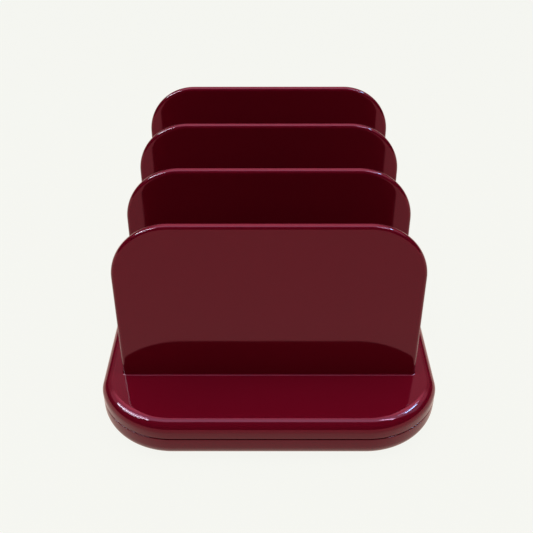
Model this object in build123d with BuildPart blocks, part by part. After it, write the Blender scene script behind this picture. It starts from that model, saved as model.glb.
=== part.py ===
from build123d import *
import math
import os

# Envelope sorter: four upright dividers on a rounded deck, with a shallow drawer as its lower band.
# Millimetres. X across, Y from front to back, Z up. Origin on the table, at the middle of the footprint.

# Driving dimensions of the base
base_width = 205.2          # across the deck
front_margin = 41.7         # from the deck's front edge to the front divider
rear_margin = 41.7          # from the rear divider to the deck's rear edge
deck_top = 29.4             # height of the deck above the table
seam_height = 17.7          # middle of the seam between the deck and the lower band
seam_gap = 0.6
seam_ease = 0.4             # bevel of the edges either side of the seam
foot_stand = 1.2            # feet hold the lower band this far off the table
lip_radius = 7.1            # rounding round the deck's top edge
sole_radius = 10.0          # rounding under the lower band
corner_radius = 46.5        # plan corner, the part next to the front and the rear
corner_sweep = 71.0         # degrees of the corner that this radius takes
flank_radius = 26.0         # plan corner, the part next to the sides
deck_wall = 2.6
deck_roof = 3.0
tray_wall = 2.4
tray_floor = 2.2

# Driving dimensions of the dividers
divider_names = ["front", "second", "third", "rear"]
divider_pitch = 62.5        # from one divider's face to the next
divider_width = 180.0
divider_thick = 4.5
divider_corner = 34.5       # radius of a divider's top corners
divider_lean = 3.7          # degrees, tops towards the rear
divider_height = 104.5      # along the leaning divider, from the deck
divider_flat = 1.7          # what the rolled edges leave flat between them
divider_flare = 0.6         # bevelled foot where a divider meets the deck
flare_taper = 45.0          # degrees
peg_radius = 2.0
peg_share = 1 / 3           # the outer pegs, as a share of the divider's width either side
peg_clearance = 0.05
peg_boss_wall = 2.0
peg_boss_depth = 3.0
peg_tail = 1.0              # how far a peg stands out below its push nut
nut_thick = 0.5
nut_radius = 4.0

# Driving dimensions of the drawer, its runners and its stops
drawer_travel = 140.0
split_margin = 50.0         # from the rear edge to the cut between drawer and heel
split_gap = 0.6
rib_depth = 4.0             # runner ribs under the deck
rib_width = 6.0
rib_inset = 15.2            # middle of a runner rib, in from the deck's side
runner_thick = 2.0
runner_overhang = 5.5       # how far a runner stands in from its rib
runner_margin = 1.0         # how far it stands out past the rib on the other side
runner_lead = 4.0           # how far a runner starts in front of the stop
runner_screw_inset = 8.0    # end screws, from a runner's ends
stop_thick = 3.0
stop_overhang = 3.0         # how far a stop reaches in past the runner
stop_gap = 0.2              # left between a hook and its stop at full travel
slide_gap = 0.3             # room above, below and beside a hook where it slides
hook_length = 40.0
hook_wall = 2.5
hook_thick = 2.5
hook_room = 0.5             # between a hook's wall and the runner
cross_rib_depth = 1.6
cross_rib_thick = 1.8
cross_rib_room = 8.5        # between the cross ribs' ends and the runners

# Driving dimensions of the screws and feet
screw_radius = 1.25
screw_length = 6.0
head_radius = 2.8
head_height = 1.6
head_bevel = 0.8
heel_screw_length = 22.0
heel_screw_inset = 17.2     # outer heel screws, in from the sides
heel_screw_setback = 18.0   # heel screws, behind the heel's front face
pillar_radius = 4.5
pillar_lap = 1.5            # the heel's pillars reach this far up past the seam
foot_radius = 7.0
foot_thick = 2.0
foot_bevel = 0.4
foot_side_inset = 30.2      # feet, in from the sides
foot_inset = 36.0           # feet, in from the front and rear edges

# Sizes that follow
divider_count = len(divider_names)
divider_span = (divider_count - 1) * divider_pitch + divider_thick
divider_roll = (divider_thick - divider_flat) / 2
divider_footprint = divider_thick / math.cos(math.radians(divider_lean))
base_depth = front_margin + divider_span + rear_margin
front_edge = -base_depth / 2
rear_edge = base_depth / 2
deck_bottom = seam_height + seam_gap / 2
tray_rim = seam_height - seam_gap / 2
tray_inside = foot_stand + tray_floor
roof_under = deck_top - deck_roof
flank_sweep = 90.0 - corner_sweep
peg_spread = peg_share * divider_width
boss_radius = peg_radius + peg_boss_wall
boss_under = roof_under - peg_boss_depth
peg_end = boss_under - nut_thick - peg_tail

split_y = rear_edge - split_margin
drawer_rear = split_y - split_gap / 2
heel_front = split_y + split_gap / 2
rib_under = roof_under - rib_depth
rib_offset = base_width / 2 - rib_inset
rib_inner = rib_offset - rib_width / 2
rib_outer = rib_offset + rib_width / 2
runner_under = rib_under - runner_thick
runner_inner = rib_inner - runner_overhang
runner_width = rib_outer + runner_margin - runner_inner
hook_under = rib_under + slide_gap
hook_top = hook_under + hook_thick
hook_outer = rib_inner - slide_gap
hook_wall_outer = runner_inner - hook_room
stop_y = drawer_rear - hook_length - drawer_travel - stop_gap
stop_inner = runner_inner - stop_overhang
stop_width = rib_inner - stop_inner
stop_middle = (stop_inner + rib_inner) / 2
runner_front = stop_y - runner_lead
runner_length = drawer_rear - runner_front
runner_middle = (runner_front + drawer_rear) / 2
runner_screw_y = [runner_front + runner_screw_inset, runner_middle, drawer_rear - runner_screw_inset]
cross_rib_reach = runner_inner - cross_rib_room

heel_screw_y = heel_front + heel_screw_setback
heel_screw_outer = base_width / 2 - heel_screw_inset
heel_screw_x = [-heel_screw_outer, -heel_screw_outer / 3, heel_screw_outer / 3, heel_screw_outer]
heel_screw_top = foot_stand + head_height + heel_screw_length
pillar_top = deck_bottom + pillar_lap
foot_offset = base_width / 2 - foot_side_inset
foot_recess = foot_thick - foot_stand

os.makedirs("parts", exist_ok=True)

# How far a plan corner reaches along the front edge
with BuildLine() as corner_trial:
    trial_tight = JernArc((0, 0), (1, 0), corner_radius, corner_sweep)
    trial_easy = JernArc(trial_tight @ 1, trial_tight % 1, flank_radius, flank_sweep)
corner_reach = (trial_easy @ 1).X

# Plan of the base, drawn in by an inset: each corner is two arcs that meet tangentially
def base_outline(inset):
    half_width = base_width / 2 - inset
    half_depth = base_depth / 2 - inset
    with BuildLine() as edge:
        front_line = Line((0, -half_depth), (base_width / 2 - corner_reach, -half_depth))
        tight = JernArc(front_line @ 1, front_line % 1, corner_radius - inset, corner_sweep)
        easy = JernArc(tight @ 1, tight % 1, flank_radius - inset, flank_sweep)
        Line(easy @ 1, (half_width, 0))
        mirror(about=Plane.XZ)
        mirror(about=Plane.YZ)
    make_face(edge.edges())

# Deck: a shell open below, with a broad rounded lip
with BuildPart() as deck_core:
    with BuildSketch(Plane.XY.offset(deck_bottom)):
        base_outline(deck_wall)
    extrude(amount=roof_under - deck_bottom)
    fillet(deck_core.faces().sort_by(Axis.Z)[-1].edges(), radius=lip_radius - deck_wall)

divider_y = [front_edge + front_margin + i * divider_pitch for i in range(divider_count)]
peg_y = [y + divider_thick / 2 for y in divider_y]
peg_x = [-peg_spread, 0, peg_spread]
peg_points = [(x, y) for y in peg_y for x in peg_x]
heel_points = [(x, heel_screw_y) for x in heel_screw_x]

with BuildPart() as deck:
    with BuildSketch(Plane.XY.offset(deck_bottom)):
        base_outline(0)
    extrude(amount=deck_top - deck_bottom)
    fillet(deck.faces().sort_by(Axis.Z)[-1].edges(), radius=lip_radius)
    chamfer(deck.faces().sort_by(Axis.Z)[0].edges(), length=seam_ease)
    add(deck_core.part, mode=Mode.SUBTRACT)
    # bosses round the peg holes
    with BuildSketch(Plane.XY.offset(boss_under)):
        with Locations(peg_points):
            Circle(boss_radius)
    extrude(amount=roof_under - boss_under)
    # ribs that carry the runners, and the stops at their front ends
    with BuildSketch(Plane.XY.offset(rib_under)):
        with Locations((-rib_offset, runner_middle), (rib_offset, runner_middle)):
            Rectangle(rib_width, runner_length)
        with Locations((-stop_middle, stop_y - stop_thick / 2), (stop_middle, stop_y - stop_thick / 2)):
            Rectangle(stop_width, stop_thick)
    extrude(amount=roof_under - rib_under)
    # cross ribs between the rows of bosses
    with BuildSketch(Plane.XY.offset(roof_under - cross_rib_depth)):
        with Locations([(0, y + divider_pitch / 2) for y in peg_y[:-1]]):
            Rectangle(2 * cross_rib_reach, cross_rib_thick)
        with Locations((-cross_rib_reach / 2, 0), (cross_rib_reach / 2, 0)):
            Rectangle(cross_rib_thick, divider_span)
    extrude(amount=cross_rib_depth)
    # pillars that the heel is screwed to
    with BuildSketch(Plane.XY.offset(pillar_top)):
        with Locations(heel_points):
            Circle(pillar_radius)
    extrude(amount=roof_under - pillar_top)
    # peg holes right through the roof
    with BuildSketch(Plane.XY.offset(boss_under)):
        with Locations(peg_points):
            Circle(peg_radius + peg_clearance)
    extrude(amount=deck_top - boss_under, mode=Mode.SUBTRACT)
    # blind holes for the heel's and the runners' screws
    with BuildSketch(Plane.XY.offset(pillar_top)):
        with Locations(heel_points):
            Circle(screw_radius)
    extrude(amount=heel_screw_top - pillar_top, mode=Mode.SUBTRACT)
    with BuildSketch(Plane.XY.offset(rib_under)):
        with Locations([(side * rib_offset, y) for side in (-1, 1) for y in runner_screw_y]):
            Circle(screw_radius)
    extrude(amount=screw_length - runner_thick, mode=Mode.SUBTRACT)
deck.part.label = "deck"
export_step(deck.part, "parts/deck.step")

# Dividers: leaning plates with rolled edges, cut flat on the deck, each on three upright pegs
for i in range(divider_count):
    lean_plane = Plane(origin=(0, divider_y[i], deck_top), x_dir=(1, 0, 0), z_dir=(0, -1, 0))
    lean_plane = lean_plane.rotated((-divider_lean, 0, 0))
    with BuildPart() as divider:
        with BuildSketch(lean_plane):
            with BuildLine():
                Polyline(
                    (-divider_width / 2, divider_height - divider_corner),
                    (-divider_width / 2, -divider_thick),
                    (divider_width / 2, -divider_thick),
                    (divider_width / 2, divider_height - divider_corner),
                )
                right_corner = RadiusArc(
                    (divider_width / 2, divider_height - divider_corner),
                    (divider_width / 2 - divider_corner, divider_height),
                    -divider_corner,
                )
                left_corner = RadiusArc(
                    (-divider_width / 2 + divider_corner, divider_height),
                    (-divider_width / 2, divider_height - divider_corner),
                    -divider_corner,
                )
                Line(right_corner @ 1, left_corner @ 0)
            make_face()
        extrude(amount=-divider_thick)

        plate_faces = divider.faces().sort_by(SortBy.AREA)[-2:]
        rim = plate_faces.edges().filter_by(lambda e: e.center().Z > deck_top)
        fillet(rim, radius=divider_roll)
        split(bisect_by=Plane.XY.offset(deck_top), keep=Keep.TOP)
        with BuildSketch(Plane.XY.offset(deck_top)):
            with Locations((0, divider_y[i] + divider_footprint / 2)):
                Rectangle(divider_width + 2 * divider_flare, divider_footprint + 2 * divider_flare)
        extrude(amount=divider_flare, taper=flare_taper)
        with BuildSketch(Plane.XY.offset(peg_end)):
            with Locations([(x, peg_y[i]) for x in peg_x]):
                Circle(peg_radius)
        extrude(amount=deck_top - peg_end)
    name = "divider_" + divider_names[i]
    divider.part.label = name
    export_step(divider.part, "parts/" + name + ".step")

    # Push nuts pressed up the pegs against the bosses
    with BuildPart() as push_nuts:
        with BuildSketch(Plane.XY.offset(boss_under - nut_thick)):
            with Locations([(x, peg_y[i]) for x in peg_x]):
                Circle(nut_radius)
                Circle(peg_radius, mode=Mode.SUBTRACT)
        extrude(amount=nut_thick)
    name = "push_nuts_" + divider_names[i]
    push_nuts.part.label = name
    export_step(push_nuts.part, "parts/" + name + ".step")

# The lower band whole, with its underside rounded; the drawer and the heel are cut from it
with BuildPart() as band:
    with BuildSketch(Plane.XY.offset(foot_stand)):
        base_outline(0)
    extrude(amount=tray_rim - foot_stand)
    fillet(band.faces().sort_by(Axis.Z)[0].edges(), radius=sole_radius)
    chamfer(band.faces().sort_by(Axis.Z)[-1].edges(), length=seam_ease)

# What is hollowed out of the band, with the same rounding inside
with BuildPart() as band_core:
    with BuildSketch(Plane.XY.offset(tray_inside)):
        base_outline(tray_wall)
    extrude(amount=tray_rim - tray_inside)
    fillet(band_core.faces().sort_by(Axis.Z)[0].edges(), radius=sole_radius - tray_wall)

with BuildPart() as drawer_core:
    add(band_core.part)
    with BuildSketch(Plane.XY.offset(tray_inside)):
        with Locations((0, (front_edge + drawer_rear - tray_wall) / 2)):
            Rectangle(base_width, drawer_rear - tray_wall - front_edge)
    extrude(amount=tray_rim - tray_inside, mode=Mode.INTERSECT)

with BuildPart() as heel_core:
    add(band_core.part)
    with BuildSketch(Plane.XY.offset(tray_inside)):
        with Locations((0, (heel_front + tray_wall + rear_edge) / 2)):
            Rectangle(base_width, rear_edge - heel_front - tray_wall)
    extrude(amount=tray_rim - tray_inside, mode=Mode.INTERSECT)

# Drawer: the front and sides of the band as a shallow tray, with a hooked rail at each rear corner
with BuildPart() as drawer:
    add(band.part)
    with BuildSketch(Plane.XY.offset(foot_stand)):
        with Locations((0, (front_edge + drawer_rear) / 2)):
            Rectangle(base_width, drawer_rear - front_edge)
    extrude(amount=tray_rim - foot_stand, mode=Mode.INTERSECT)
    add(drawer_core.part, mode=Mode.SUBTRACT)
    # each rail is a wall with a flange turned outwards over the runner
    for side in (-1, 1):
        with BuildSketch(Plane.XZ.offset(-drawer_rear)):
            with BuildLine():
                Polyline(
                    (side * (hook_wall_outer - hook_wall), tray_inside - tray_floor / 2),
                    (side * hook_wall_outer, tray_inside - tray_floor / 2),
                    (side * hook_wall_outer, hook_under),
                    (side * hook_outer, hook_under),
                    (side * hook_outer, hook_top),
                    (side * (hook_wall_outer - hook_wall), hook_top),
                    close=True,
                )
            make_face()
        extrude(amount=hook_length)
    # shallow seats for the front glides
    with BuildSketch(Plane.XY.offset(foot_stand)):
        with Locations((-foot_offset, front_edge + foot_inset), (foot_offset, front_edge + foot_inset)):
            Circle(foot_radius)
    extrude(amount=foot_recess, mode=Mode.SUBTRACT)
drawer.part.label = "drawer"
export_step(drawer.part, "parts/drawer.step")

# Heel: the rear of the band, fixed to the deck, which the drawer slides away from
with BuildPart() as heel:
    add(band.part)
    with BuildSketch(Plane.XY.offset(foot_stand)):
        with Locations((0, (heel_front + rear_edge) / 2)):
            Rectangle(base_width, rear_edge - heel_front)
    extrude(amount=tray_rim - foot_stand, mode=Mode.INTERSECT)
    add(heel_core.part, mode=Mode.SUBTRACT)
    with BuildSketch(Plane.XY.offset(tray_inside - tray_floor / 2)):
        with Locations(heel_points):
            Circle(pillar_radius)
    extrude(amount=pillar_top - tray_inside + tray_floor / 2)
    with BuildSketch(Plane.XY.offset(foot_stand)):
        with Locations((-foot_offset, rear_edge - foot_inset), (foot_offset, rear_edge - foot_inset)):
            Circle(foot_radius)
    extrude(amount=foot_recess, mode=Mode.SUBTRACT)
    # countersinks and clearance holes for the heel screws
    with BuildSketch(Plane.XY.offset(foot_stand)):
        with Locations(heel_points):
            Circle(head_radius)
    extrude(amount=head_height, mode=Mode.SUBTRACT)
    with BuildSketch(Plane.XY.offset(foot_stand)):
        with Locations(heel_points):
            Circle(screw_radius)
    extrude(amount=pillar_top - foot_stand, mode=Mode.SUBTRACT)
heel.part.label = "heel"
export_step(heel.part, "parts/heel.step")

with BuildPart() as heel_screws:
    with BuildSketch(Plane.XY.offset(foot_stand)):
        with Locations(heel_points):
            Circle(head_radius)
    extrude(amount=head_height)
    with BuildSketch(Plane.XY.offset(foot_stand + head_height)):
        with Locations(heel_points):
            Circle(screw_radius)
    extrude(amount=heel_screw_length)
heel_screws.part.label = "heel_screws"
export_step(heel_screws.part, "parts/heel_screws.step")

# Runners under the deck's ribs, the screws that hold them, and the feet
for side, hand in ((-1, "left"), (1, "right")):
    screw_points = [(side * rib_offset, y) for y in runner_screw_y]
    with BuildPart() as runner:
        with BuildSketch(Plane.XY.offset(runner_under)):
            with Locations((side * (runner_inner + runner_width / 2), runner_middle)):
                Rectangle(runner_width, runner_length)
        extrude(amount=runner_thick)
        with BuildSketch(Plane.XY.offset(runner_under)):
            with Locations(screw_points):
                Circle(screw_radius)
        extrude(amount=runner_thick, mode=Mode.SUBTRACT)
    runner.part.label = "runner_" + hand
    export_step(runner.part, "parts/runner_" + hand + ".step")

    with BuildPart() as runner_screws:
        with BuildSketch(Plane.XY.offset(runner_under)):
            with Locations(screw_points):
                Circle(screw_radius)
        extrude(amount=screw_length)
        with BuildSketch(Plane.XY.offset(runner_under - head_height)):
            with Locations(screw_points):
                Circle(head_radius)
        extrude(amount=head_height)
        tops = runner_screws.faces().filter_by(GeomType.PLANE).group_by(Axis.Z)[0]
        chamfer(tops.edges(), length=head_bevel)
    runner_screws.part.label = "runner_screws_" + hand
    export_step(runner_screws.part, "parts/runner_screws_" + hand + ".step")

    for kind, foot_y in (("glide", front_edge + foot_inset), ("rear_foot", rear_edge - foot_inset)):
        with BuildPart() as foot:
            with BuildSketch():
                with Locations((side * foot_offset, foot_y)):
                    Circle(foot_radius)
            extrude(amount=foot_thick)
            chamfer(foot.faces().sort_by(Axis.Z)[0].edges(), length=foot_bevel)
        foot.part.label = kind + "_" + hand
        export_step(foot.part, "parts/" + kind + "_" + hand + ".step")
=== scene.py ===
import math
import bmesh
import bpy
import numpy as np
from mathutils import Matrix, Vector
from mathutils.geometry import tessellate_polygon


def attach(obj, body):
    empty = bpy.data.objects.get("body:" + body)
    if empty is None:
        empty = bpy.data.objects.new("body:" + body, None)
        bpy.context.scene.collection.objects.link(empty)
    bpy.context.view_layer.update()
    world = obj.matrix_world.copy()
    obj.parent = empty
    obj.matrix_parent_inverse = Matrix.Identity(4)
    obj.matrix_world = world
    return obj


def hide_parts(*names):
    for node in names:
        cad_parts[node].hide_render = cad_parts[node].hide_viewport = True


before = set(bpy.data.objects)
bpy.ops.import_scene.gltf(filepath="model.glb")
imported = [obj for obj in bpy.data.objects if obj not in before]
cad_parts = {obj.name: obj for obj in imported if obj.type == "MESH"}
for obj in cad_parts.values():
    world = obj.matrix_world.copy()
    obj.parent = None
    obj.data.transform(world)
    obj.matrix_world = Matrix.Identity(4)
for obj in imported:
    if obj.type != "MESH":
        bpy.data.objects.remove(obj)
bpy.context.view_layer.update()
print("frame loaded:", len(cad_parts), "nodes")

# The object's lengths are millimetres here, and metres in its meshes. The stage is in metres throughout
mm = 0.001


# sRGB hex to the linear colour that shaders want
def linearColour(hexText):
    parts = [int(hexText[i:i + 2], 16) / 255 for i in (1, 3, 5)]
    return [p / 12.92 if p <= 0.04045 else ((p + 0.055) / 1.055) ** 2.4 for p in parts] + [1.0]


# the Scale of a pattern whose real size is this many millimetres
def scaleFor(size):
    return 1 / (size * mm)


# adds a node, sets its properties and input values, and links its inputs
def addNode(tree, kind, settings=None, links=None, **properties):
    node = tree.nodes.new(kind)
    for name, value in properties.items():
        setattr(node, name, value)
    for key, value in (settings or {}).items():
        node.inputs[key].default_value = value
    for key, source in (links or {}).items():
        tree.links.new(source, node.inputs[key])
    return node


def newMaterial(name):
    material = bpy.data.materials.new(name)
    material.use_nodes = True
    material.node_tree.nodes.clear()
    return material, material.node_tree


glossAbs = {
    "colour": "#5e0616",       # deep burgundy pigment
    "darker": "#580514",       # where the melt flowed slower
    "flowScale": 60.0,         # size of the flow clouds
    "ior": 1.54,
    "specular": 0.75,          # this and the tint are matched to the photo's reflections
    "tint": "#ff829a",
    "roughness": 0.055,
    "hazeRoughness": 0.09,     # where fingers have dulled the polish
    "hazeScale": 24.0,
    "hazeBand": (0.45, 0.8),   # the part of the haze's clouds over which the polish dulls
    "peelScale": 9.0,          # swells of the moulded skin
    "peelHeight": 0.0030,
    "grainScale": 0.5,         # polishing marks of the mould, drawn coarser than real ones to show at all
    "grainHeight": 0.00010,
}


# High-gloss ABS moulded in a polished tool: it gives sharp reflections with the faintest swell and haze in them
def makeGlossAbs():
    v = glossAbs
    material, tree = newMaterial("burgundy high-gloss ABS")
    place = addNode(tree, "ShaderNodeTexCoord").outputs["Object"]
    flow = addNode(tree, "ShaderNodeTexNoise", {"Scale": scaleFor(v["flowScale"]), "Detail": 2.0},
                   {"Vector": place})
    colour = addNode(tree, "ShaderNodeMix", {"A": linearColour(v["darker"]), "B": linearColour(v["colour"])},
                     {"Factor": flow.outputs["Fac"]}, data_type="RGBA")
    haze = addNode(tree, "ShaderNodeTexNoise",
                   {"Scale": scaleFor(v["hazeScale"]), "Detail": 5.0, "Roughness": 0.6}, {"Vector": place})
    hazeFrom, hazeTo = v["hazeBand"]
    dull = addNode(tree, "ShaderNodeMapRange",
                   {"From Min": hazeFrom, "From Max": hazeTo, "To Min": v["roughness"], "To Max": v["hazeRoughness"]},
                   {"Value": haze.outputs["Fac"]})
    peel = addNode(tree, "ShaderNodeTexNoise", {"Scale": scaleFor(v["peelScale"]), "Detail": 1.0},
                   {"Vector": place})
    swell = addNode(tree, "ShaderNodeBump", {"Strength": 1.0, "Distance": v["peelHeight"] * mm},
                    {"Height": peel.outputs["Fac"]})
    grain = addNode(tree, "ShaderNodeTexNoise", {"Scale": scaleFor(v["grainScale"]), "Detail": 3.0},
                    {"Vector": place})
    skin = addNode(tree, "ShaderNodeBump", {"Strength": 1.0, "Distance": v["grainHeight"] * mm},
                   {"Height": grain.outputs["Fac"], "Normal": swell.outputs["Normal"]})
    shader = addNode(tree, "ShaderNodeBsdfPrincipled",
                     {"IOR": v["ior"], "Specular IOR Level": v["specular"], "Specular Tint": linearColour(v["tint"])},
                     {"Base Color": colour.outputs["Result"], "Roughness": dull.outputs["Result"],
                      "Normal": skin.outputs["Normal"]})
    addNode(tree, "ShaderNodeOutputMaterial", links={"Surface": shader.outputs["BSDF"]})
    return material


cloudBand = (0.3, 0.7)         # the part of a plain material's clouds over which its roughness changes


# One recipe for the small plain materials: a colour that varies a little, a roughness and a fine relief
def makePlain(name, v):
    material, tree = newMaterial(name)
    place = addNode(tree, "ShaderNodeTexCoord").outputs["Object"]
    cloud = addNode(tree, "ShaderNodeTexNoise", {"Scale": scaleFor(v["cloudScale"]), "Detail": 4.0},
                    {"Vector": place})
    colour = addNode(tree, "ShaderNodeMix", {"A": linearColour(v["darker"]), "B": linearColour(v["colour"])},
                     {"Factor": cloud.outputs["Fac"]}, data_type="RGBA")
    smoothest, roughest = v["roughness"]
    rough = addNode(tree, "ShaderNodeMapRange",
                    {"From Min": cloudBand[0], "From Max": cloudBand[1], "To Min": smoothest, "To Max": roughest},
                    {"Value": cloud.outputs["Fac"]})
    grain = addNode(tree, "ShaderNodeTexNoise", {"Scale": scaleFor(v["grainScale"]), "Detail": 3.0},
                    {"Vector": place})
    relief = addNode(tree, "ShaderNodeBump", {"Strength": 1.0, "Distance": v["grainHeight"] * mm},
                     {"Height": grain.outputs["Fac"]})
    shader = addNode(tree, "ShaderNodeBsdfPrincipled", v["shader"],
                     {"Base Color": colour.outputs["Result"], "Roughness": rough.outputs["Result"],
                      "Normal": relief.outputs["Normal"]})
    addNode(tree, "ShaderNodeOutputMaterial", links={"Surface": shader.outputs["BSDF"]})
    return material


# Natural acetal, the waxy white of plain machined bar
acetal = {"colour": "#ece8dc", "darker": "#e2ddd0", "shader": {"IOR": 1.48}, "roughness": (0.32, 0.46),
          "cloudScale": 14.0, "grainScale": 0.35, "grainHeight": 0.004}
# Grey nylon, satin from sliding on the table
glideNylon = {"colour": "#8f8d88", "darker": "#7d7b76", "shader": {"IOR": 1.53}, "roughness": (0.38, 0.55),
              "cloudScale": 5.0, "grainScale": 0.25, "grainHeight": 0.006}
# Black soft rubber, dull and slightly dusty
footRubber = {"colour": "#1d1d1e", "darker": "#131313", "shader": {"IOR": 1.52}, "roughness": (0.65, 0.85),
              "cloudScale": 4.0, "grainScale": 0.22, "grainHeight": 0.012}
# Spring steel, grey with the blue cast left by tempering
springSteel = {"colour": "#8d9097", "darker": "#6f737d", "shader": {"Metallic": 1.0}, "roughness": (0.22, 0.36),
               "cloudScale": 3.0, "grainScale": 0.15, "grainHeight": 0.002}
# Bright zinc plate, with a cloudy sheen
zincSteel = {"colour": "#c3c5c9", "darker": "#a7aab0", "shader": {"Metallic": 1.0}, "roughness": (0.16, 0.30),
             "cloudScale": 1.5, "grainScale": 0.12, "grainHeight": 0.0015}

materials = {
    "burgundy_abs": makeGlossAbs(),
    "acetal": makePlain("natural acetal", acetal),
    "glide_nylon": makePlain("grey nylon", glideNylon),
    "foot_rubber": makePlain("black rubber", footRubber),
    "spring_steel": makePlain("tempered spring steel", springSteel),
    "zinc_steel": makePlain("bright zinc-plated steel", zincSteel),
}
print("materials ready:", len(materials))

meshing = {
    "border": 1.5,             # a swept surface runs this far past its last rounding, onto the flat face
    "mergeGap": 0.002,         # points nearer than this become one
    "sharpAngle": 30.0,        # degrees; an edge that turns more is a real one
    "sliver": 1e-9,            # twice the area of a triangle too thin to keep
    "round": 64,               # points round a foot or its recess
    "smallRound": 40,          # and round a peg, a boss or a screw hole
}


# point = centre + radius * (cos a, sin a), with a in degrees
def arc(centre, radius, start, end, steps):
    a = np.radians(np.linspace(start, end, steps))[:, None]
    return np.hstack([centre[0] + radius * np.cos(a), centre[1] + radius * np.sin(a)])


def circle(centre, radius, steps):
    return arc(centre, radius, 0, 360, steps + 1)[:-1]


# grid of points (rows, columns, 3) as a surface piece; it faces along the row step x the column step
def gridPiece(grid, closed=False):
    rows, columns = grid.shape[:2]
    i = np.arange(rows if closed else rows - 1)[:, None]
    j = np.arange(columns - 1)[None, :]
    here, following = i * columns + j, (i + 1) % rows * columns + j
    quads = np.stack([here, following, following + 1, here + 1], -1)
    return grid.reshape(-1, 3), quads.reshape(-1, 4).tolist()


# flat n-gon through a list of points, in their order
def facePiece(points):
    return np.asarray(points, float), [list(range(len(points)))]


# flat horizontal plate with holes, facing up or down
def platePiece(outer, holes, z, up):
    loops = [outer, *holes]
    flat = np.concatenate(loops)
    corners = np.array(tessellate_polygon([[Vector((x, y, 0)) for x, y in loop] for loop in loops]))
    e, f = flat[corners[:, 1]] - flat[corners[:, 0]], flat[corners[:, 2]] - flat[corners[:, 0]]
    turn = e[:, 0] * f[:, 1] - e[:, 1] * f[:, 0]
    wrong = (turn > 0) != up
    corners[wrong] = corners[wrong, ::-1]
    kept = corners[abs(turn) > meshing["sliver"]]
    return np.column_stack([flat, np.full(len(flat), z)]), kept.tolist()


# surface round a vertical axis: profile is (radius, z), and it faces outwards where z rises
def turnedPiece(profile, centre, steps):
    a = np.linspace(0, 2 * math.pi, steps, endpoint=False)[:, None]
    radius, z = np.asarray(profile, float).T
    grid = np.stack([centre[0] + radius * np.cos(a), centre[1] + radius * np.sin(a), z + 0 * a], -1)
    return gridPiece(grid, closed=True)


# box with its four upright edges and its lower edges bevelled
def barPieces(x0, x1, y0, y1, z0, z1, bevel):
    def ring(inset, z):
        b = bevel + inset
        return [(x0 + b, y0 + inset, z), (x1 - b, y0 + inset, z), (x1 - inset, y0 + b, z), (x1 - inset, y1 - b, z),
                (x1 - b, y1 - inset, z), (x0 + b, y1 - inset, z), (x0 + inset, y1 - b, z), (x0 + inset, y0 + b, z)]
    low, middle, high = ring(bevel, z0), ring(0, z0 + bevel), ring(0, z1)
    return [gridPiece(np.array([low, middle, high]).transpose(1, 0, 2), closed=True),
            facePiece(low[::-1]), facePiece(high)]


# a section in X and Z drawn out along Y
def drawnPieces(section, y0, y1):
    x, z = np.asarray(section, float).T
    near, far = (np.column_stack([x, np.full(len(x), y), z]) for y in (y0, y1))
    return [gridPiece(np.stack([near, far], 1)[::-1], closed=True), facePiece(near), facePiece(far[::-1])]


# the same pieces, mirrored front to rear
def mirroredPieces(pieces):
    return [(points * (1, -1, 1), [face[::-1] for face in faces]) for points, faces in pieces]


# joins pieces into one object at the origin, smooth except across real edges
def makeObject(name, pieces, slot, body="rack"):
    points, faces, start = [], [], 0
    for p, f in pieces:
        points.append(p)
        faces += [[k + start for k in face] for face in f]
        start += len(p)
    mesh = bpy.data.meshes.new(name)
    mesh.from_pydata((np.concatenate(points) * mm).tolist(), [], faces)
    work = bmesh.new()
    work.from_mesh(mesh)
    bmesh.ops.remove_doubles(work, verts=work.verts, dist=meshing["mergeGap"] * mm)
    work.to_mesh(mesh)
    work.free()
    mesh.validate()
    mesh.shade_smooth()
    mesh.set_sharp_from_angle(angle=math.radians(meshing["sharpAngle"]))
    mesh.materials.append(materials[slot])
    thing = bpy.data.objects.new(name, mesh)
    bpy.context.scene.collection.objects.link(thing)
    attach(thing, body)
    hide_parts(name)
    return thing


# Plan of the base: each corner is two arcs that run into each other
plan = {
    "width": 205.2,
    "depth": 275.4,
    "tight": 46.5,             # corner radius beside the front and the rear
    "sweep": 71.0,             # degrees of the corner it takes
    "flank": 26.0,             # corner radius beside the sides
    "tightSteps": 49,
    "flankSteps": 15,
    "straightSteps": 14,
}


# The front right corner: point = centre + radius * (sin a, -cos a), a from 0 at the front to 90 degrees at the side
def planCorner():
    v = plan
    meet = math.radians(v["sweep"])
    reach = v["tight"] * math.sin(meet) + v["flank"] * (1 - math.sin(meet))
    centre = np.array([v["width"] / 2 - reach, v["tight"] - v["depth"] / 2])
    easyCentre = centre + (v["tight"] - v["flank"]) * np.array([math.sin(meet), -math.cos(meet)])
    a = np.linspace(0, meet, v["tightSteps"])
    b = np.linspace(meet, math.pi / 2, v["flankSteps"])[1:]
    out = np.stack([np.sin(np.r_[a, b]), -np.cos(np.r_[a, b])], -1)
    radius = np.r_[np.full(len(a), v["tight"]), np.full(len(b), v["flank"])][:, None]
    middle = np.r_[np.tile(centre, (len(a), 1)), np.tile(easyCentre, (len(b), 1))]
    return middle + radius * out, out


# the corner mirrored to the side and end that x and y give, still anticlockwise
def cornerAt(x, y):
    p, n = planCorner()
    step = 1 if x * y > 0 else -1
    return (p * (x, y))[::step], (n * (x, y))[::step]


# joins runs of points with evenly spaced ones on the straight between them
def joinRuns(runs, closed):
    points, outs = [], []
    for k, (p, n) in enumerate(runs):
        points.append(p)
        outs.append(n)
        if k < len(runs) - 1 or closed:
            following = runs[(k + 1) % len(runs)][0][0]
            t = np.linspace(0, 1, plan["straightSteps"])[1:-1, None]
            points.append(p[-1] + (following - p[-1]) * t)
            outs.append(np.tile(n[-1], (len(t), 1)))
    return np.concatenate(points), np.concatenate(outs)


# the whole plan, anticlockwise
def planLoop():
    return joinRuns([cornerAt(x, y) for x, y in ((1, 1), (1, -1), (-1, -1), (-1, 1))], True)


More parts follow.
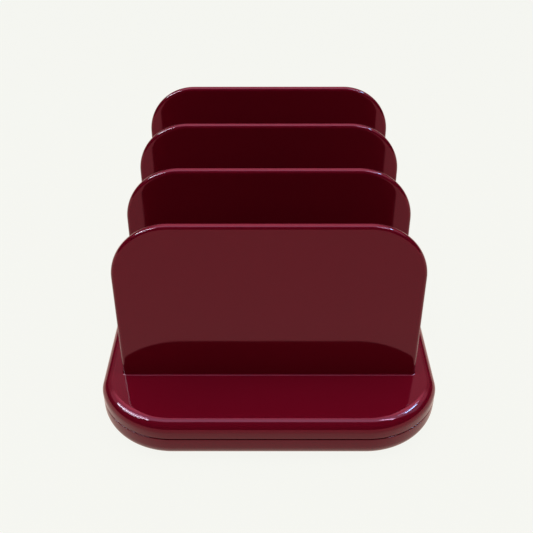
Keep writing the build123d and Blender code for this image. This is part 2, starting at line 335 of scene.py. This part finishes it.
# the plan from the left side at y = cut, round the front, to the right side
def planRun(cut):
    side = plan["width"] / 2
    left = np.array([[-side, cut]]), np.array([[-1.0, 0.0]])
    right = np.array([[side, cut]]), np.array([[1.0, 0.0]])
    return joinRuns([left, cornerAt(-1, 1), cornerAt(1, 1), right], False)


# a profile (inset, height) carried along a run: point = p(t) - inset(s) * n(t), at height(s)
def sweep(run, profile):
    p, n = run
    inset, height = np.asarray(profile, float).T
    flat = p[:, None] - inset[None, :, None] * n[:, None]
    return np.dstack([flat, np.broadcast_to(height, flat.shape[:2])])


deck = {
    "top": 29.4,
    "bottom": 18.0,
    "lip": 7.1,                # rounding round the top edge
    "ease": 0.4,               # rounding beside the seam
    "wall": 2.6,
    "roofUnder": 26.4,
    "bossUnder": 23.4,
    "bossRadius": 4.0,
    "bossBevel": 0.3,
    "pegHole": 2.05,
    "ribX": (84.4, 90.4),      # ribs that carry the runners
    "ribY": (-96.8, 87.4),
    "ribUnder": 22.4,
    "ribBevel": 0.3,
    "stopX": (75.9, 84.4),     # stops that end the drawer's travel
    "stopY": (-95.8, -92.8),
    "crossUnder": 24.8,        # light ribs, lengthwise and across
    "crossThick": 1.8,
    "crossX": (-70.4, 70.4),
    "crossY": (-96.0, 96.0),
    "pillarUnder": 19.5,       # pillars for the heel's screws
    "pillarRadius": 4.5,
    "screwHole": 1.25,
    "screwTop": 24.8,
}
pitch = 62.5                   # between the dividers' front faces, which are given where they meet the deck
dividerFaces = {place: -96.0 + pitch * k for k, place in enumerate(("front", "second", "third", "rear"))}
pegRow = (-60.0, 0.0, 60.0)
pegSetback = 2.25              # a peg's axis, behind its divider's front face
heelScrews = [(x, 106.0) for x in (-85.4, -28.467, 28.467, 85.4)]


# Shell swept round the plan, from its roof's underside down the wall, round the seam's edge and up over the lip
def makeDeck():
    v = deck
    roof, lip, ease, wall = v["roofUnder"], v["lip"], v["ease"], v["wall"]
    profile = np.vstack([
        (lip + meshing["border"], roof),
        arc((lip, roof - lip + wall), lip - wall, 90, 180, steps=9),
        (wall, v["bottom"]),
        arc((ease, v["bottom"] + ease), ease, 270, 180, steps=7),
        arc((lip, v["top"] - lip), lip, 180, 90, steps=33),
        (lip + meshing["border"], v["top"]),
    ])
    shell = sweep(planLoop(), profile)
    pieces = [gridPiece(shell, closed=True), facePiece(shell[:, -1]), facePiece(shell[::-1, 0])]
    boss = [(v["pegHole"], roof), (v["pegHole"], v["bossUnder"]), (v["bossRadius"] - v["bossBevel"], v["bossUnder"]),
            (v["bossRadius"], v["bossUnder"] + v["bossBevel"]), (v["bossRadius"], roof)]
    for face in dividerFaces.values():
        pieces += [turnedPiece(boss, (x, face + pegSetback), meshing["smallRound"]) for x in pegRow]
    half = v["crossThick"] / 2
    for side in (-1, 1):
        for xs, ys in ((v["ribX"], v["ribY"]), (v["stopX"], v["stopY"])):
            x0, x1 = sorted(side * x for x in xs)
            pieces += barPieces(x0, x1, *ys, v["ribUnder"], roof, v["ribBevel"])
        x = side * v["crossX"][1] / 2
        pieces += barPieces(x - half, x + half, *v["crossY"], v["crossUnder"], roof, v["ribBevel"])
    for face in list(dividerFaces.values())[:-1]:
        y = face + pegSetback + pitch / 2
        pieces += barPieces(*v["crossX"], y - half, y + half, v["crossUnder"], roof, v["ribBevel"])
    pillar = [(v["screwHole"], v["screwTop"]), (v["screwHole"], v["pillarUnder"]),
              (v["pillarRadius"], v["pillarUnder"]), (v["pillarRadius"], roof)]
    pieces += [turnedPiece(pillar, point, meshing["smallRound"]) for point in heelScrews]
    makeObject("deck", pieces, "burgundy_abs")


makeDeck()

divider = {
    "width": 180.0,
    "height": 104.5,           # along the leaning face
    "thick": 5.3,              # 0.8 more than its solid, to the rear
    "corner": 34.5,
    "lean": 3.7,               # degrees
    "roll": 2.3,               # rolled rim
    "foot": 1.0,               # hollow rounding where it grows out of the deck
    "pegRadius": 2.0,
    "pegEnd": 21.9,
    "pegBevel": 0.3,
    "sideSteps": 9,
    "cornerSteps": 45,
    "topSteps": 24,
}


# Outline in the leaning plane, up the right side and down the left: side, corner arc, top, corner arc, side. The rim
# is two quarter rounds: point = p(t) - inset(s) * n(t), depth(s). Both ends slide along the lean to meet the deck
def dividerPieces(face):
    v = divider
    half, rise = v["width"] / 2, v["height"] - v["corner"]
    lean, roll, thick, top = math.radians(v["lean"]), v["roll"], v["thick"], deck["top"]
    side = np.column_stack([np.full(v["sideSteps"], half), np.linspace(0, rise, v["sideSteps"] + 1)[:-1]])
    right = np.vstack([side, arc((half - v["corner"], rise), v["corner"], 0, 90, v["cornerSteps"])])
    rightOut = np.vstack([np.tile((1.0, 0.0), (len(side), 1)), arc((0, 0), 1, 0, 90, v["cornerSteps"])])
    across = np.linspace(right[-1, 0], -right[-1, 0], v["topSteps"] + 2)[1:-1]
    p = np.vstack([right, np.column_stack([across, np.full(len(across), v["height"])]), (right * (-1, 1))[::-1]])
    n = np.vstack([rightOut, np.tile((0.0, 1.0), (len(across), 1)), (rightOut * (-1, 1))[::-1]])
    rim = np.vstack([
        (roll + meshing["border"], thick),
        arc((roll, thick - roll), roll, 90, 180, steps=11),
        arc((roll, roll), roll, 180, 270, steps=11),
        (roll + meshing["border"], 0.0),
    ])
    x, up, depth = np.moveaxis(sweep((p, n), rim), -1, 0)
    up[[0, -1]] = rim[:, 1] * math.tan(lean)
    grid = np.stack([x, face + up * math.sin(lean) + depth * math.cos(lean),
                     top + up * math.cos(lean) - depth * math.sin(lean)], -1)
    pieces = [gridPiece(grid), facePiece(grid[:, -1]), facePiece(grid[::-1, 0]),
              facePiece(np.concatenate([grid[0], grid[-1, ::-1]]))]
    # the hollow rounding is a quarter round carried anticlockwise about the foot
    loop = np.concatenate([grid[-1], grid[0, ::-1]])[:, :2]
    along = np.roll(loop, -1, 0) - np.roll(loop, 1, 0)
    out = np.stack([along[:, 1], -along[:, 0]], -1) / np.linalg.norm(along, axis=1)[:, None]
    hollow = arc((-v["foot"], top + v["foot"]), v["foot"], -90, 0, steps=9)
    pieces.append(gridPiece(sweep((loop, out), hollow), closed=True))
    peg = [(0.0, v["pegEnd"]), (v["pegRadius"] - v["pegBevel"], v["pegEnd"]),
           (v["pegRadius"], v["pegEnd"] + v["pegBevel"]), (v["pegRadius"], top)]
    pieces += [turnedPiece(peg, (x, face + pegSetback), meshing["smallRound"]) for x in pegRow]
    return pieces


for place, face in dividerFaces.items():
    makeObject("divider_" + place, dividerPieces(face), "burgundy_abs")
print("deck and dividers ready")

# Drawer and heel are two trays cut from the lower band
tray = {
    "stand": 1.2,              # off the table
    "rim": 17.4,
    "sole": 10.0,              # rounding underneath
    "ease": 0.4,               # rounding beside the seam
    "wall": 2.4,
    "inside": 3.4,             # height of the floor inside
    "drawerRear": 87.4,
    "heelFront": 88.0,
    "footX": 72.4,
    "footY": 101.7,
    "footRadius": 7.0,
    "footRecess": 0.8,
    "headHole": 2.8,           # for the heads of the heel's screws
    "headHeight": 1.6,
    "hookY": (47.4, 87.35),
    "hook": ((75.9, 2.3), (78.4, 2.3), (78.4, 22.7), (84.1, 22.7), (84.1, 25.2), (75.9, 25.2)),
}


# The front of the band as a tray with a flat rear wall at y = cut, swept from its sole up the wall, and inside from
# the rim down to its floor. It has recesses for two feet, and other holes through its underside
def trayPieces(cut, holes=()):
    v = tray
    sole, ease, wall, stand = v["sole"], v["ease"], v["wall"], v["stand"]
    outer = sweep(planRun(cut), np.vstack([
        (sole + meshing["border"], stand),
        arc((sole, stand + sole), sole, 270, 180, steps=29),
        arc((ease, v["rim"] - ease), ease, 180, 90, steps=7),
    ]))
    inner = sweep(planRun(cut - wall), np.vstack([
        (wall, v["rim"]),
        arc((sole, v["inside"] + sole - wall), sole - wall, 180, 270, steps=15),
        (sole + meshing["border"], v["inside"]),
    ]))
    seats = [(side * v["footX"], -v["footY"]) for side in (-1, 1)]
    recesses = [circle(seat, v["footRadius"], meshing["round"]) for seat in seats]
    ceiling = stand + v["footRecess"]
    recess = [(0.0, ceiling), (v["footRadius"], ceiling), (v["footRadius"], stand)]
    return [
        gridPiece(outer),
        gridPiece(inner),
        platePiece(outer[:, 0, :2], recesses + list(holes), stand, up=False),
        platePiece(inner[:, -1, :2], [], v["inside"], up=True),
        platePiece(outer[:, -1, :2], [inner[:, 0, :2]], v["rim"], up=True),
        facePiece(np.concatenate([outer[0, ::-1], outer[-1]])[::-1]),
        facePiece(np.concatenate([inner[0], inner[-1, ::-1]])),
    ] + [turnedPiece(recess, seat, meshing["round"]) for seat in seats]


# the drawer's two rails hook over the runners
def makeDrawer():
    hook = np.array(tray["hook"])
    pieces = trayPieces(tray["drawerRear"])
    for section in (hook, (hook * (-1, 1))[::-1]):
        pieces += drawnPieces(section, *tray["hookY"])
    makeObject("drawer", pieces, "burgundy_abs", "drawer")


# The heel is made as a front and mirrored to the rear. Its pillars start half way up its floor, where they don't show
def makeHeel():
    v = tray
    heads = [(x, -y) for x, y in heelScrews]
    pieces = trayPieces(-v["heelFront"], [circle(c, v["headHole"], meshing["smallRound"]) for c in heads])
    shoulder = v["stand"] + v["headHeight"]
    pillar = [(deck["pillarRadius"], (v["stand"] + v["inside"]) / 2), (deck["pillarRadius"], deck["pillarUnder"]),
              (deck["screwHole"], deck["pillarUnder"]), (deck["screwHole"], shoulder),
              (v["headHole"], shoulder), (v["headHole"], v["stand"])]
    pieces += [turnedPiece(pillar, c, meshing["smallRound"]) for c in heads]
    makeObject("heel", mirroredPieces(pieces), "burgundy_abs")


makeDrawer()
makeHeel()
print("drawer and heel ready")

screw = {
    "headRadius": 2.8,
    "headEdge": 0.5,
    "driveReach": 1.7,         # cross recess: its arms' length, half width and depth
    "driveHalf": 0.42,
    "driveDepth": 1.0,
    "driveSlope": 0.16,        # how far the recess's sides run out, and its ends
    "driveEnd": 0.5,
    "shank": 1.25,
    "neck": 0.1,               # how much narrower the shank is under the head
    "pitch": 1.0,
    "threadDepth": 0.28,
    "tip": 1.6,
    "point": 0.08,             # share of the shank's radius that is left at its tip
    "headSteps": (96, 34),     # round the head, and out from its middle
    "threadSteps": (40, 12),   # round the shank, and in each turn of its thread
}


# Pan head with a cross recess, facing down, and a threaded shank above it. The recess is a depth times two shares:
# one falls from 1 to 0 over slope where the smaller of |x| and |y| passes half, the other over end, up to reach.
# The thread's radius is shank - depth * (1 - cos(2 pi z / pitch - a)) / 2
def screwPieces(x, y, low, headHeight, end):
    v = screw
    start = low + headHeight
    around, outward = v["headSteps"]
    a = np.linspace(0, 2 * math.pi, around, endpoint=False)[:, None]
    r = np.linspace(0.0, v["headRadius"] - v["headEdge"], outward)[None, :]
    arm = np.minimum(abs(r * np.cos(a)), abs(r * np.sin(a)))
    sunk = (np.clip((v["driveHalf"] + v["driveSlope"] / 2 - arm) / v["driveSlope"], 0, 1)
            * np.clip((v["driveReach"] - r) / v["driveEnd"], 0, 1))
    headFace = np.stack([x + r * np.cos(a), y + r * np.sin(a), low + v["driveDepth"] * sunk], -1)
    edgeRadius, edgeHeight = np.vstack([
        arc((v["headRadius"] - v["headEdge"], low + v["headEdge"]), v["headEdge"], 270, 360, steps=8),
        (v["headRadius"], start),
        (v["shank"] - v["neck"], start),
    ]).T
    side = np.stack([x + edgeRadius * np.cos(a), y + edgeRadius * np.sin(a), edgeHeight + 0 * a], -1)
    around, perTurn = v["threadSteps"]
    z = np.linspace(start, end, int((end - start) / v["pitch"] * perTurn) + 2)[None, :]
    b = np.linspace(0, 2 * math.pi, around, endpoint=False)[:, None]
    wave = v["threadDepth"] * (1 - np.cos(2 * math.pi * z / v["pitch"] - b)) / 2
    radius = (v["shank"] - wave) * np.clip((end - z) / v["tip"], v["point"], 1)
    thread = np.stack([x + radius * np.cos(b), y + radius * np.sin(b), z + 0 * b], -1)
    return [gridPiece(np.concatenate([headFace, side], 1), closed=True), gridPiece(thread, closed=True),
            facePiece(thread[:, -1])]


pushNut = {
    "radius": 4.0,
    "thick": 0.25,
    "dish": 0.25,
    "top": 23.4,
    "bore": 2.0,
    "slit": 0.9,               # how far the slits between the teeth reach out from the bore
    "slitFrom": 0.8,           # the cosine at which a slit begins, and over how much of it
    "slitSlope": 0.08,
    "teeth": 6,
    "steps": 144,
    "share": (1.0, 0.6, 0.25, 0.0, 0.0, 0.25, 0.6, 1.0, 1.0),  # the section: from the edge over the top to the
    "under": (0, 0, 0, 0, 1, 1, 1, 1, 0),                      # bore, and back underneath
}


# Pressed ring with teeth bent down onto the peg: the hole's radius is bore + slit * a share that rises from 0 to 1
# over slitSlope once cos(teeth * a) passes slitFrom, and the ring drops by dish * (1 - share) ^ 1.5 towards it
def pushNutPiece(x, y):
    v = pushNut
    a = np.linspace(0, 2 * math.pi, v["steps"], endpoint=False)[:, None]
    bore = v["bore"] + v["slit"] * np.clip((np.cos(v["teeth"] * a) - v["slitFrom"]) / v["slitSlope"], 0, 1)
    share, under = np.array(v["share"]), np.array(v["under"])
    radius = bore + (v["radius"] - bore) * share
    z = v["top"] - v["dish"] * (1 - share) ** 1.5 - v["thick"] * under + 0 * a
    return gridPiece(np.stack([x + radius * np.cos(a), y + radius * np.sin(a), z], -1), closed=True)


foot = {
    "radius": 6.9,
    "height": 2.0,
    "edge": 0.5,
    "plain": 0.6,              # between the grooves and the edge
    "groove": 0.12,            # rings pressed into the face that stands on the table
    "rings": 3,
}


# Disc with ring grooves: z = groove * (1 - cos(2 pi rings r / reach)) / 2
def footPiece(x, y):
    v = foot
    reach = v["radius"] - v["edge"] - v["plain"]
    r = np.linspace(0.0, reach, 49)
    profile = np.vstack([
        np.column_stack([r, v["groove"] * (1 - np.cos(2 * math.pi * v["rings"] * r / reach)) / 2]),
        arc((v["radius"] - v["edge"], v["edge"]), v["edge"], 270, 360, steps=8),
        (v["radius"], v["height"]),
        (0.0, v["height"]),
    ])
    return turnedPiece(profile, (x, y), meshing["round"])


runner = {
    "x": (78.9, 91.4),
    "y": (-96.8, 87.4),
    "z": (20.4, 22.4),
    "bevel": 0.35,
    "screwX": 87.4,
    "screwY": (-88.8, -4.7, 79.4),
    "headHeight": 1.6,
    "screwEnd": 26.4,
}


def makeSmallPieces():
    v = runner
    for place, face in dividerFaces.items():
        makeObject("push_nuts_" + place, [pushNutPiece(x, face + pegSetback) for x in pegRow], "spring_steel")
    pieces = []
    for x, y in heelScrews:
        pieces += screwPieces(x, y, tray["stand"], tray["headHeight"], deck["screwTop"])
    makeObject("heel_screws", pieces, "zinc_steel")
    for side, hand in ((-1, "left"), (1, "right")):
        x0, x1 = sorted(side * x for x in v["x"])
        makeObject("runner_" + hand, barPieces(x0, x1, *v["y"], *v["z"], v["bevel"]), "acetal")
        pieces = []
        for y in v["screwY"]:
            pieces += screwPieces(side * v["screwX"], y, v["z"][0] - v["headHeight"], v["headHeight"], v["screwEnd"])
        makeObject("runner_screws_" + hand, pieces, "zinc_steel")
        makeObject("rear_foot_" + hand, [footPiece(side * tray["footX"], tray["footY"])], "foot_rubber")
        makeObject("glide_" + hand, [footPiece(side * tray["footX"], -tray["footY"])], "glide_nylon", "drawer")


makeSmallPieces()
print("fixings, runners and feet ready")

stageLook = {
    "floorSize": 9.0,
    "floorColour": "#b4ac9a",
    "background": "#f6f7f1",
    "paper": "#f8f9f4",        # the floor's share of it, a little lighter for what the shading takes away
    "shadowShare": 0.05,       # how much of the real shading the camera sees on the floor
    "mirroredShare": 0.35,     # and how much of it shows in the reflections
    "mirrored": "#ffe6d8",     # the rest of them: paper, warmed by the lamps
    "mirroredLevel": 1.09,
}


# A floor that is shaded by the lamps, with plain paper mixed over it for the camera and for reflections
def makeFloor():
    v = stageLook
    material, tree = newMaterial("pale studio floor")
    path = addNode(tree, "ShaderNodeLightPath")
    inMirror = addNode(tree, "ShaderNodeMath", {1: 1 - v["mirroredShare"]}, {0: path.outputs["Is Glossy Ray"]},
                       operation="MULTIPLY")
    inView = addNode(tree, "ShaderNodeMath", {1: 1 - v["shadowShare"]}, {0: path.outputs["Is Camera Ray"]},
                     operation="MULTIPLY")
    share = addNode(tree, "ShaderNodeMath", None, {0: inView.outputs[0], 1: inMirror.outputs[0]}, operation="ADD")
    shade = addNode(tree, "ShaderNodeBsdfDiffuse", {"Color": linearColour(v["floorColour"])})
    warm = [v["mirroredLevel"] * c for c in linearColour(v["mirrored"])]
    paper = addNode(tree, "ShaderNodeMix", {"A": linearColour(v["paper"]), "B": warm},
                    {"Factor": path.outputs["Is Glossy Ray"]}, data_type="RGBA")
    glow = addNode(tree, "ShaderNodeEmission", {"Strength": 1.0}, {"Color": paper.outputs["Result"]})
    both = addNode(tree, "ShaderNodeMixShader", None, {0: share.outputs[0], 1: shade.outputs[0], 2: glow.outputs[0]})
    addNode(tree, "ShaderNodeOutputMaterial", links={"Surface": both.outputs[0]})
    half = v["floorSize"] / 2
    mesh = bpy.data.meshes.new("floor")
    mesh.from_pydata([(-half, -half, 0), (half, -half, 0), (half, half, 0), (-half, half, 0)], [], [(0, 1, 2, 3)])
    floor = bpy.data.objects.new("floor", mesh)
    bpy.context.scene.collection.objects.link(floor)
    mesh.materials.append(material)


makeFloor()

cameraSet = {
    "place": (-0.0007, -0.4383, 0.3616),
    "pitch": 36.11,            # degrees below the horizon
    "yaw": -0.12,
    "roll": -0.08,
    "focal": 766.2,            # in pixels of a picture this many wide
    "pixels": 533,
    "sensor": 36,              # millimetres
    "clip": (0.01, 50),
}


def makeCamera():
    v = cameraSet
    pitch, yaw, roll = (math.radians(v[k]) for k in ("pitch", "yaw", "roll"))
    ahead = Vector((math.sin(yaw) * math.cos(pitch), math.cos(yaw) * math.cos(pitch), -math.sin(pitch)))
    right = Vector((math.cos(yaw), -math.sin(yaw), 0))
    up = right.cross(ahead)
    rolledRight = right * math.cos(roll) + up * math.sin(roll)
    rolledUp = up * math.cos(roll) - right * math.sin(roll)
    data = bpy.data.cameras.new("camera")
    data.lens = v["focal"] / v["pixels"] * v["sensor"]
    data.sensor_width = v["sensor"]
    data.clip_start, data.clip_end = v["clip"]
    camera = bpy.data.objects.new("camera", data)
    matrix = Matrix((rolledRight, rolledUp, -ahead)).transposed().to_4x4()
    matrix.translation = v["place"]
    camera.matrix_world = matrix
    bpy.context.scene.collection.objects.link(camera)
    bpy.context.scene.camera = camera


makeCamera()

# Tubes hang askew high at the sides and draw the bright lines on the corners. They are seen only in reflections,
# and are cool because the plastic's tint warms what it mirrors. "along" is the way the long side runs
tubes = {
    "left tube": {"place": (-1.20, -0.20, 1.40), "along": (0.83, -0.55, 0.0), "size": (1.15, 0.09),
                  "radiance": 100.0, "colour": "#90fff2"},
    "left inner tube": {"place": (-1.05, 0.02, 1.42), "along": (0.83, -0.55, 0.0), "size": (0.90, 0.05),
                        "radiance": 45.0, "colour": "#a8f4ff"},
    "left outer tube": {"place": (-1.42, -0.42, 1.36), "along": (0.83, -0.55, 0.0), "size": (0.80, 0.06),
                        "radiance": 50.0, "colour": "#90fff2"},
    "right tube": {"place": (1.06, 0.18, 1.40), "along": (0.27, 0.96, 0.0), "size": (0.44, 0.12),
                   "radiance": 85.0, "colour": "#5cdcff"},
    "right inner tube": {"place": (0.86, 0.30, 1.40), "along": (0.40, 0.92, 0.0), "size": (0.60, 0.05),
                         "radiance": 25.0, "colour": "#8ce4ff"},
    "far tube": {"place": (0.65, -0.33, 1.40), "along": (-0.80, 0.60, 0.0), "size": (0.54, 0.10),
                 "radiance": 30.0, "colour": "#98f0ff"},
}
# The softboxes at the sides, above and in front light the object and the floor, and aren't seen in reflections
softboxes = {
    "left softbox": {"place": (-1.20, -0.20, 1.15), "along": (0.0, 1.0, 0.0), "size": (0.9, 0.9),
                     "radiance": 2.6, "colour": "#fff2fc"},
    "right softbox": {"place": (1.20, -0.20, 1.15), "along": (0.0, 1.0, 0.0), "size": (0.9, 0.9),
                      "radiance": 2.6, "colour": "#fff2fc"},
    "top softbox": {"place": (0.0, -0.18, 1.50), "along": (1.0, 0.0, 0.0), "size": (1.2, 0.5),
                    "radiance": 4.6, "colour": "#fff2fc"},
    "front softbox": {"place": (0.0, -1.30, 0.90), "along": (1.0, 0.0, 0.0), "size": (1.6, 0.9),
                      "radiance": 0.5, "colour": "#ffe8d4"},
}


# each lamp faces the origin, where the object stands, and its power is radiance * pi * area
def makeLamps(lamps, lights, mirrored):
    for name, v in lamps.items():
        data = bpy.data.lights.new(name, "AREA")
        data.shape = "RECTANGLE"
        data.size, data.size_y = v["size"]
        data.energy = v["radiance"] * math.pi * data.size * data.size_y
        data.color = linearColour(v["colour"])[:3]
        lamp = bpy.data.objects.new(name, data)
        lamp.location = v["place"]
        away = Vector(v["place"]).normalized()
        across = away.cross(Vector(v["along"])).normalized()
        lamp.rotation_euler = Matrix((across.cross(away), across, away)).transposed().to_euler()
        lamp.visible_diffuse = lights
        lamp.visible_glossy = mirrored
        bpy.context.scene.collection.objects.link(lamp)


makeLamps(tubes, lights=False, mirrored=True)
makeLamps(softboxes, lights=True, mirrored=False)

# Soft light from a wide ceiling cloth over and behind the object, in an otherwise dim room; the camera sees paper.
# In the sky direction (x, y, z) a place is back = y / z and side = x / z; the cloth's colour changes with back
sky = {
    "cloth": (                 # back, radiance in red, green and blue
        (-0.30, 0.0, 0.0, 0.0),
        (-0.23, 1.6, 2.6, 3.3),
        (-0.10, 1.6, 3.0, 3.6),
        (0.10, 1.5, 2.5, 2.9),
        (0.25, 1.5, 1.7, 2.1),
        (0.50, 2.6, 1.7, 2.1),
        (0.72, 2.4, 1.5, 1.8),
        (0.86, 0.62, 0.46, 0.50),
        (1.60, 0.62, 0.42, 0.45),
        (2.20, 1.3, 0.4, 0.6),
        (3.00, 1.2, 0.3, 0.5),
        (3.60, 0.0, 0.0, 0.0),
    ),
    "dim": (0.40, 0.95, 0.45),  # sideways it dims from here to here, down to this share
    "edge": (1.30, 2.20),      # and goes out from here to here
    "lightShare": 0.5,         # how much of it lights; the rest is only mirrored
    "horizon": (0.02, 0.10),   # the heights between which it comes in over the horizon
    "lowest": 0.05,            # the least height that back and side are divided by
    "room": "#070609",
    "roomLevel": 10.0,
}


def makeWorld():
    v = sky
    world = bpy.data.worlds.new("studio")
    world.use_nodes = True
    tree = world.node_tree
    tree.nodes.clear()
    way = addNode(tree, "ShaderNodeSeparateXYZ", links={0: addNode(tree, "ShaderNodeTexCoord").outputs["Generated"]})
    height = addNode(tree, "ShaderNodeMath", {1: v["lowest"]}, {0: way.outputs["Z"]}, operation="MAXIMUM")
    back = addNode(tree, "ShaderNodeMath", None, {0: way.outputs["Y"], 1: height.outputs[0]}, operation="DIVIDE")
    reach = addNode(tree, "ShaderNodeMath", None, {0: way.outputs["X"]}, operation="ABSOLUTE")
    side = addNode(tree, "ShaderNodeMath", None, {0: reach.outputs[0], 1: height.outputs[0]}, operation="DIVIDE")
    first, last = v["cloth"][0][0], v["cloth"][-1][0]
    most = max(max(stop[1:]) for stop in v["cloth"])
    along = addNode(tree, "ShaderNodeMapRange", {"From Min": first, "From Max": last}, {"Value": back.outputs[0]})
    cloth = addNode(tree, "ShaderNodeValToRGB", links={0: along.outputs["Result"]})
    stops = cloth.color_ramp.elements
    for place, *_ in v["cloth"][1:-1]:
        stops.new((place - first) / (last - first))
    for stop, (_, *radiance) in zip(stops, v["cloth"]):
        stop.color = [c / most for c in radiance] + [1.0]
    path = addNode(tree, "ShaderNodeLightPath")
    risesFrom, risesTo = v["horizon"]
    level = addNode(tree, "ShaderNodeMapRange", {"From Min": risesFrom, "From Max": risesTo, "To Max": most},
                    {"Value": way.outputs["Z"]})
    for source, start, end, share in ((side.outputs[0], *v["dim"]), (side.outputs[0], *v["edge"], 0.0),
                                      (path.outputs["Is Diffuse Ray"], 0.0, 1.0, v["lightShare"])):
        fall = addNode(tree, "ShaderNodeMapRange",
                       {"From Min": start, "From Max": end, "To Min": 1.0, "To Max": share}, {"Value": source},
                       interpolation_type="SMOOTHSTEP")
        level = addNode(tree, "ShaderNodeMath", None, {0: level.outputs[0], 1: fall.outputs[0]}, operation="MULTIPLY")
    ceiling = addNode(tree, "ShaderNodeBackground", None,
                      {"Color": cloth.outputs["Color"], "Strength": level.outputs[0]})
    room = addNode(tree, "ShaderNodeBackground", {"Color": linearColour(v["room"]), "Strength": v["roomLevel"]})
    studio = addNode(tree, "ShaderNodeAddShader", None, {0: ceiling.outputs[0], 1: room.outputs[0]})
    paper = addNode(tree, "ShaderNodeBackground", {"Color": linearColour(stageLook["background"]), "Strength": 1.0})
    both = addNode(tree, "ShaderNodeMixShader", None,
                   {0: path.outputs["Is Camera Ray"], 1: studio.outputs[0], 2: paper.outputs[0]})
    addNode(tree, "ShaderNodeOutputWorld", links={"Surface": both.outputs[0]})
    bpy.context.scene.world = world


makeWorld()
bpy.context.scene.view_settings.view_transform = "Standard"
print("stage ready")
